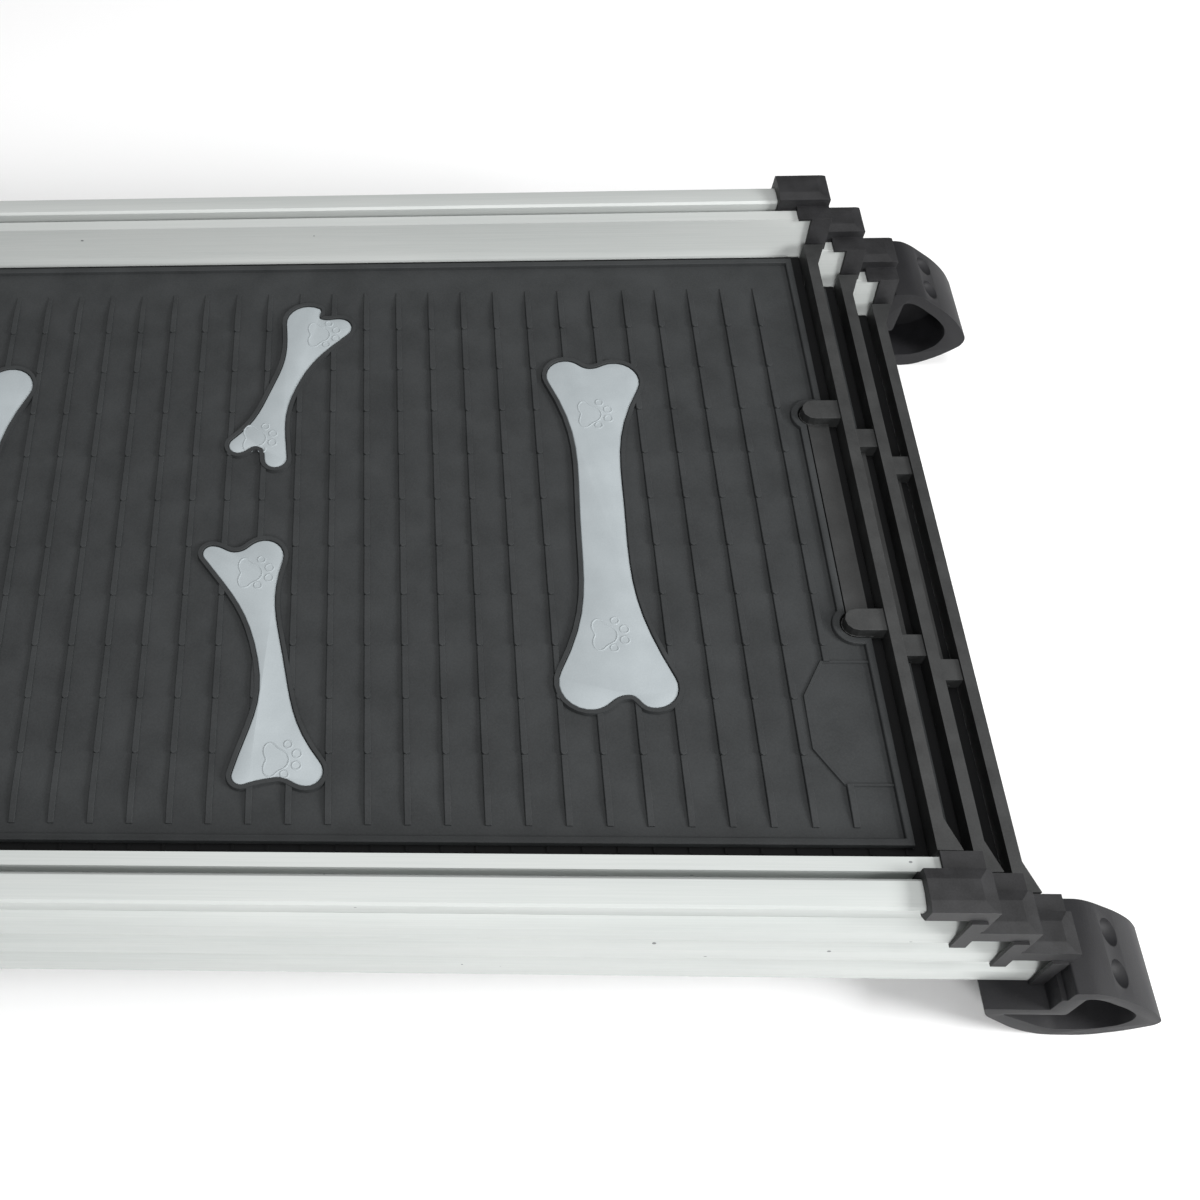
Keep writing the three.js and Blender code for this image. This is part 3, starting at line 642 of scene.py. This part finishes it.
PAWS_MESH = paws_mesh()
for section in SECTIONS:
    place(f"{section}_paw_outlines", PAWS_MESH, f"{section}_section", "grey_rubber", ORIGINS[section])
print("paws on each mat", sum(len(spots) for spots in PAWS.values()))

# %% [markdown]
# ## Rails, caps, crossbars, decks and small parts
# Their shapes come straight from the engineering model, whose edges are perfectly sharp. Nothing real is:
# an extrusion's corners are rounded by the die, a moulding's by the cutter that made the mould, and these
# small rounds are what catch the light. Each piece is copied, its flat triangles are merged so that only real
# edges are left for the bevel, and a bevel modifier rounds them. A merged face with many corners may be
# hollow in outline, which a bevel closes wrongly, so it is split into triangles again. The rails are shaded
# smooth, because a die leaves no facets; the moulded pieces are flat-sided and shaded flat.


# %% Copies of model nodes with rounded edges
MERGE_BELOW = 1  # degrees between faces
MANY_CORNERS = 6
ROUND_ABOVE = 24  # degrees at an edge


def merged_copy(node):
    bm = bmesh.new()
    bm.from_mesh(frame["nodes"][node].data)
    bmesh.ops.remove_doubles(bm, verts=bm.verts, dist=0.01 * MM)
    limit = math.radians(MERGE_BELOW)
    bmesh.ops.dissolve_limit(bm, angle_limit=limit, verts=bm.verts, edges=bm.edges)
    bm.normal_update()
    large = [face for face in bm.faces if len(face.verts) > MANY_CORNERS]
    bmesh.ops.triangulate(bm, faces=large, ngon_method="EAR_CLIP")
    return bm


def rounded(node, material, radius_mm, slot, bm=None, smooth=False):
    bm = bm or merged_copy(node)
    body = frame["nodes"][node].parent.name.split(":")[1]
    mesh = mesh_from(f"{node}_rounded", bm, material, 30)
    if not smooth:
        mesh.shade_flat()
    piece = place(f"{node}_finished", mesh, body, slot)
    bevel = piece.modifiers.new("edge_rounding", "BEVEL")
    bevel.width = radius_mm * MM
    bevel.segments = 3 if smooth else 2
    bevel.limit_method = "ANGLE"
    bevel.angle_limit = math.radians(ROUND_ABOVE)
    bevel.harden_normals = smooth
    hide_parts(node)
    return piece


def nodes_with(word):
    return [node for node in sorted(frame["nodes"]) if word in node]


# %% Finish the pieces that keep the model's shape
# The material, the radius of the rounds in mm, and the slot's name.
FINISHES = {
    "_rail_": (ALUMINIUM, 0.7, "anodised_aluminium"),
    "_crossbar_": (NYLON, 0.4, "bar_plastic"),
    "_deck": (PANEL, 0.3, "deck_plastic"),
    "_plug_": (ABS, 0.3, "black_plastic"),
    "_stop_pad_": (ABS, 0.3, "black_plastic"),
    "_screw_": (STEEL, 0.2, "steel"),
    "rest_pad_": (FOOT_RUBBER, 1.2, "foot_rubber"),
}
for word, (material, radius_mm, slot) in FINISHES.items():
    for node in nodes_with(word):
        rounded(node, material, radius_mm, slot, smooth=material is ALUMINIUM)
    print(word.strip("_"), len(nodes_with(word)))

# %% [markdown]
# The caps also slope down over their last 6 mm. A sloping plane cuts that facet off the copied block, and
# the open cut is closed again.

# %% End caps
FACET_LENGTH = 6.0
FACET_DROP = 1.8


def sloped_cap(node):
    bm = merged_copy(node)
    low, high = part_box(node)
    to_right = "right" in node
    end = high.x if to_right else low.x
    sign = 1 if to_right else -1
    start = Vector((end - sign * FACET_LENGTH * MM, 0, high.z))
    slope = Vector((sign * FACET_DROP, 0, FACET_LENGTH)).normalized()
    geometry = [*bm.verts, *bm.edges, *bm.faces]
    cut = bmesh.ops.bisect_plane(bm, geom=geometry, plane_co=start, plane_no=slope, clear_outer=True)
    edges = [e for e in cut["geom_cut"] if isinstance(e, bmesh.types.BMEdge)]
    bmesh.ops.holes_fill(bm, edges=edges)
    bmesh.ops.recalc_face_normals(bm, faces=bm.faces)
    return bm


CAPS = nodes_with("_cap_")
for node in CAPS:
    rounded(node, ABS, 0.5, "black_plastic", sloped_cap(node))
print("caps", len(CAPS))

# %% [markdown]
# ## Ribs on the deck
# The deck is a moulded panel. A row of short ribs shows in the gap between the mat and the rail, and deeper
# ribs stiffen the panel from below.

# %% Deck ribs
EDGE_RIB_PITCH = 15.6
EDGE_RIB_WIDTH = 1.1
EDGE_RIB_BESIDE = (0.4, 3.2)  # from the mat's edge
EDGE_RIB_HEIGHTS = (-3.7, -3.0)
CROSS_RIB_PITCH = 46.0
CROSS_RIB_WIDTH = 1.6
CROSS_RIB_REACH = 169
CROSS_RIB_DEPTH = 3.2
CROSS_RIBS_PER_HALF = 5
DECK_BOTTOM = -5.5
OVERLAP = 0.2  # of a rib with the deck


def box(bm, x0, x1, y0, y1, z0, z1):
    corners = [(x0, y0), (x1, y0), (x1, y1), (x0, y1)]
    loft(bm, [ring_at(corners, z0), ring_at(corners, z1)], cap_first=True, cap_last=True)


def deck_rib_mesh():
    bm = bmesh.new()
    count = int(HALF_LENGTH // EDGE_RIB_PITCH)
    for i in range(-count, count + 1):
        x = i * EDGE_RIB_PITCH
        for side in (-1, 1):
            inner, outer = sorted(side * (HALF_WIDTH + beside) for beside in EDGE_RIB_BESIDE)
            half = EDGE_RIB_WIDTH / 2
            box(bm, x - half, x + half, inner, outer, *EDGE_RIB_HEIGHTS)
    for i in range(-CROSS_RIBS_PER_HALF, CROSS_RIBS_PER_HALF + 1):
        x = i * CROSS_RIB_PITCH
        half = CROSS_RIB_WIDTH / 2
        heights = (DECK_BOTTOM - CROSS_RIB_DEPTH, DECK_BOTTOM + OVERLAP)
        box(bm, x - half, x + half, -CROSS_RIB_REACH, CROSS_RIB_REACH, *heights)
    print("edge ribs", 2 * (2 * count + 1), "cross ribs", 2 * CROSS_RIBS_PER_HALF + 1)
    return mesh_from("deck_ribs", bm, PANEL)


DECK_RIB_MESH = deck_rib_mesh()
for section in SECTIONS:
    place(f"{section}_deck_ribs", DECK_RIB_MESH, f"{section}_section", "deck_plastic", ORIGINS[section])

# %% [markdown]
# ## The feet
# Each foot is one rubber moulding, screwed under the end of a rail. Its top slopes down to a blunt tip, its
# sole is curved like a rocker, and a pocket on either side of an upright web makes it springy. Two scoops
# in the slope give the fingers a grip. A profile with soft corners is given its width, the pockets and the
# scoops are cut out with booleans, and a bevel softens all edges, because rubber parts have no sharp ones.
# The profiles are written as the foot's sections would be drawn: (past the rail's end, height, corner).

# %% Foot outlines
FOOT_FLOOR, FOOT_HEIGHT = -53.0, 62.0
FOOT_WALL = 7.4
RAIL_END = 300.7
UNDER_RAIL = -14.3
FOOT_IN, FOOT_OUT = 185.5, 229.5
WEB_IN, WEB_OUT = 210.2, 214.2
SHARE_OF_EDGE = 0.48  # the most of an edge that one rounded corner may take


def softened(points, steps=6):
    """The outline with each corner rounded: points are (x, y, radius), and 0 keeps the corner sharp."""
    out = []
    for i, (x, y, radius) in enumerate(points):
        here = Vector((x, y))
        before = Vector(points[i - 1][:2]) - here
        after = Vector(points[(i + 1) % len(points)][:2]) - here
        reach = min(radius, before.length * SHARE_OF_EDGE, after.length * SHARE_OF_EDGE)
        if reach <= 0:
            out.append((x, y))
            continue
        a, b = here + before.normalized() * reach, here + after.normalized() * reach
        for k in range(steps + 1):
            t = k / steps
            out.append(tuple(a * (1 - t) ** 2 + here * 2 * t * (1 - t) + b * t * t))
    return out


def raised(points):
    return [(x, FOOT_FLOOR + up, radius) for x, up, radius in points]


def foot_profile(tail):
    top = FOOT_FLOOR + FOOT_HEIGHT
    hook = [(0.6, UNDER_RAIL, 0), (0.6, -0.6, 0), (3.0, -0.6, 0), (3.0, top, 1.5)]
    slope = [(14, 62, 5), (21, 58.5, 5), (38, 46, 8), (48.5, 35.5, 8), (55.5, 25, 4), (56.3, 21.5, 2)]
    tip = [(55.3, 17, 3), (45.4, 8, 8), (33.5, 1.5, 8), (27, 0, 4)]
    heel = [(12, 0, 8), (1.6, 4.5, 6), (-7.3, 11, 8), (3.5 - tail, 29, 6)]
    return softened([(-tail, UNDER_RAIL, 0), *hook, *raised(slope + tip + heel)])


def foot_pocket(tail):
    under = UNDER_RAIL - FOOT_WALL
    ends = [(10 - tail, under, 3), (10.4, under, 2), (10.4, FOOT_FLOOR + FOOT_HEIGHT - FOOT_WALL, 3)]
    slope = [(15, 54.6, 2), (20, 52, 4), (34, 41, 6), (41, 33, 5), (43, 25.5, 4)]
    sole = [(40.3, 17, 4), (31, 10.7, 6), (23, 9.5, 4), (12, 9.5, 5), (5, 13.2, 4), (-1.5, 18.5, 5)]
    return softened(ends + raised(slope + sole))


# %% Foot mesh
def across_bar(points, y0, y1):
    """A closed prism along Y from an outline in (x, z), as a separate object for cutting or being cut."""
    bm = bmesh.new()
    points = anticlockwise(points)
    rings = [[(x * MM, y * MM, z * MM) for x, z in points] for y in (y0, y1)]
    loft(bm, rings, cap_first=True, cap_last=True)
    bmesh.ops.recalc_face_normals(bm, faces=bm.faces)
    mesh = bpy.data.meshes.new("working_shape")
    bm.to_mesh(mesh)
    bm.free()
    return bpy.data.objects.new("working_shape", mesh)


SCOOP_TILT = 12
SCOOP_RADII = (7.0, 6.8, 4.2)
SCOOP_AT, SCOOP_UP, SCOOP_ASIDE = 29.2, 53.4, 9.6  # past the rail's end, above the floor, from the middle
SOFT_EDGE = 1.5
SOFTEN_ABOVE = 40  # degrees at an edge


def scoop(x, y, z):
    """A bean-shaped cutter for one finger scoop, nearly level, so that it reaches in under the slope."""
    bm = bmesh.new()
    bmesh.ops.create_uvsphere(bm, u_segments=24, v_segments=14, radius=1)
    bmesh.ops.scale(bm, vec=[radius * MM for radius in SCOOP_RADII], verts=bm.verts)
    bmesh.ops.rotate(bm, matrix=Matrix.Rotation(math.radians(SCOOP_TILT), 3, "Y"), verts=bm.verts)
    bmesh.ops.translate(bm, vec=(x * MM, y * MM, z * MM), verts=bm.verts)
    mesh = bpy.data.meshes.new("working_scoop")
    bm.to_mesh(mesh)
    bm.free()
    return bpy.data.objects.new("working_scoop", mesh)


def foot_mesh(tail):
    """A foot for the far side of the right end, from the rail's end and the mat's top."""
    body = across_bar(foot_profile(tail), FOOT_IN, FOOT_OUT)
    middle = (FOOT_IN + FOOT_OUT) / 2
    pocket = foot_pocket(tail)
    cutters = [across_bar(pocket, FOOT_IN - 1, WEB_IN), across_bar(pocket, WEB_OUT, FOOT_OUT + 1)]
    for side in (-1, 1):
        cutters.append(scoop(SCOOP_AT, middle + side * SCOOP_ASIDE, FOOT_FLOOR + SCOOP_UP))
    collection = bpy.context.scene.collection
    for piece in [body, *cutters]:
        collection.objects.link(piece)
    for cutter in cutters:
        cut = body.modifiers.new("cut", "BOOLEAN")
        cut.object = cutter
        cut.operation = "DIFFERENCE"
        cut.solver = "EXACT"
    soft = body.modifiers.new("soft_edges", "BEVEL")
    soft.width = SOFT_EDGE * MM
    soft.segments = 3
    soft.limit_method = "ANGLE"
    soft.angle_limit = math.radians(SOFTEN_ABOVE)
    bpy.context.view_layer.update()
    graph = bpy.context.evaluated_depsgraph_get()
    mesh = bpy.data.meshes.new_from_object(body.evaluated_get(graph))
    for piece in [body, *cutters]:
        old = piece.data
        bpy.data.objects.remove(piece)
        bpy.data.meshes.remove(old)
    mesh.shade_smooth()
    mesh.set_sharp_from_angle(angle=math.radians(SOFTEN_ABOVE))
    mesh.materials.clear()
    mesh.materials.append(FOOT_RUBBER)
    return mesh


def mirrored(mesh, flip_x, flip_y):
    copy = mesh.copy()
    copy.transform(Matrix.Diagonal((-1 if flip_x else 1, -1 if flip_y else 1, 1, 1)))
    if flip_x != flip_y:
        copy.flip_normals()
    return copy


# %% Place the four feet
# Each kind is (section, the tail's length under the rail, whether it is at the left end).
FEET = {"ground_foot": ("bottom", 28.5, False), "vehicle_foot": ("top", 22.0, True)}
for name, (section, tail, flip_x) in FEET.items():
    mesh = foot_mesh(tail)
    print(name, "faces", len(mesh.polygons))
    for side in SIDES:
        shift = Matrix.Translation((RAIL_END * MM, 0, 0))
        copy = mesh.copy()
        copy.transform(shift)
        copy = mirrored(copy, flip_x, side == "near")
        foot = place(f"{name}_{side}_loop", copy, f"{section}_section", "foot_rubber", ORIGINS[section])
        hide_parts(f"{name}_{side}")

# %% [markdown]
# ## Studio
# A pale floor runs out to a pale surround, as on a catalogue page. One large soft lamp stands low on the
# right, so that the ribs throw short shadows. A second in front lights the rails, a third hangs above, and
# the surround fills what is left of the shadows.

# %% Floor
bm = bmesh.new()
bmesh.ops.create_grid(bm, x_segments=2, y_segments=2, size=9.0)
floor_material, floor_tree, floor_shader = new_material("matt_white_paper", Roughness=0.9, IOR=1.45)
paper = add(floor_tree, "ShaderNodeTexNoise", {"Vector": stretched(floor_tree, 400, 400), "Scale": 1.0})
floor_colour = two_tone(floor_tree, paper.outputs["Fac"], "#f7f7f7", "#f9f9f9")
floor_tree.links.new(floor_colour, floor_shader.inputs["Base Color"])
floor = bpy.data.objects.new("floor", mesh_from("floor", bm, floor_material))
bpy.context.scene.collection.objects.link(floor)
print("floor", [round(v, 1) for v in floor.dimensions])

# %% Lamps and surround
world = bpy.data.worlds.new("soft_surround")
world.use_nodes = True
world.node_tree.nodes["Background"].inputs["Color"].default_value = (1.0, 1.0, 1.0, 1.0)
world.node_tree.nodes["Background"].inputs["Strength"].default_value = 0.3
bpy.context.scene.world = world


AIM = Vector((0.05, 0, 0.05))


def soft_lamp(name, at, size, power):
    lamp = bpy.data.lights.new(name, "AREA")
    lamp.shape = "DISK"
    lamp.size = size
    lamp.energy = power
    holder = bpy.data.objects.new(name, lamp)
    bpy.context.scene.collection.objects.link(holder)
    holder.location = at
    direction = AIM - Vector(at)
    holder.rotation_euler = direction.to_track_quat("-Z", "Y").to_euler()


soft_lamp("right_softbox", (1.9, -0.7, 1.15), 0.9, 46)
soft_lamp("front_softbox", (0.1, -2.1, 1.7), 1.0, 34)
soft_lamp("top_softbox", (0.2, 0.3, 2.3), 1.6, 20)
print("lamps", len(bpy.data.lights))
bpy.context.scene.view_settings.view_transform = "Standard"

# %% [markdown]
# ## Camera
# It looks down steeply from in front, close enough for the rails to converge, with a slight tilt. Its
# place, its direction and its lens are written as they would be measured in the studio: metres and degrees.
# The picture's left edge cuts the ramp, so the lens is shifted sideways rather than turned.

# %% Camera
CAMERA_AT = Vector((0.01837, -0.43604, 0.71710))
DOWNWARD, SIDEWAYS, TILT = 57.770, 5.647, -4.882
LENS_MM, SHIFT = 44.37, 0.2607


def camera_matrix():
    pitch, turn, tilt = (math.radians(a) for a in (DOWNWARD, SIDEWAYS, TILT))
    turned = Matrix.Rotation(turn, 3, "Z")
    right = turned @ Vector((1, 0, 0))
    up = turned @ Vector((0, math.sin(pitch), math.cos(pitch)))
    forward = turned @ Vector((0, math.cos(pitch), -math.sin(pitch)))
    tilted_right = math.cos(tilt) * right + math.sin(tilt) * up
    tilted_up = -math.sin(tilt) * right + math.cos(tilt) * up
    rows = Matrix((tilted_right, tilted_up, -forward)).transposed().to_4x4()
    return Matrix.Translation(CAMERA_AT) @ rows


camera_data = bpy.data.cameras.new("studio_camera")
camera_data.sensor_width = 36
camera_data.lens = LENS_MM
camera_data.shift_x = SHIFT
camera_data.clip_start = 0.01
camera = bpy.data.objects.new("studio_camera", camera_data)
bpy.context.scene.collection.objects.link(camera)
camera.matrix_world = camera_matrix()
bpy.context.scene.camera = camera
print("lens in mm", round(camera_data.lens, 2), "distance in m", round(CAMERA_AT.length, 2))
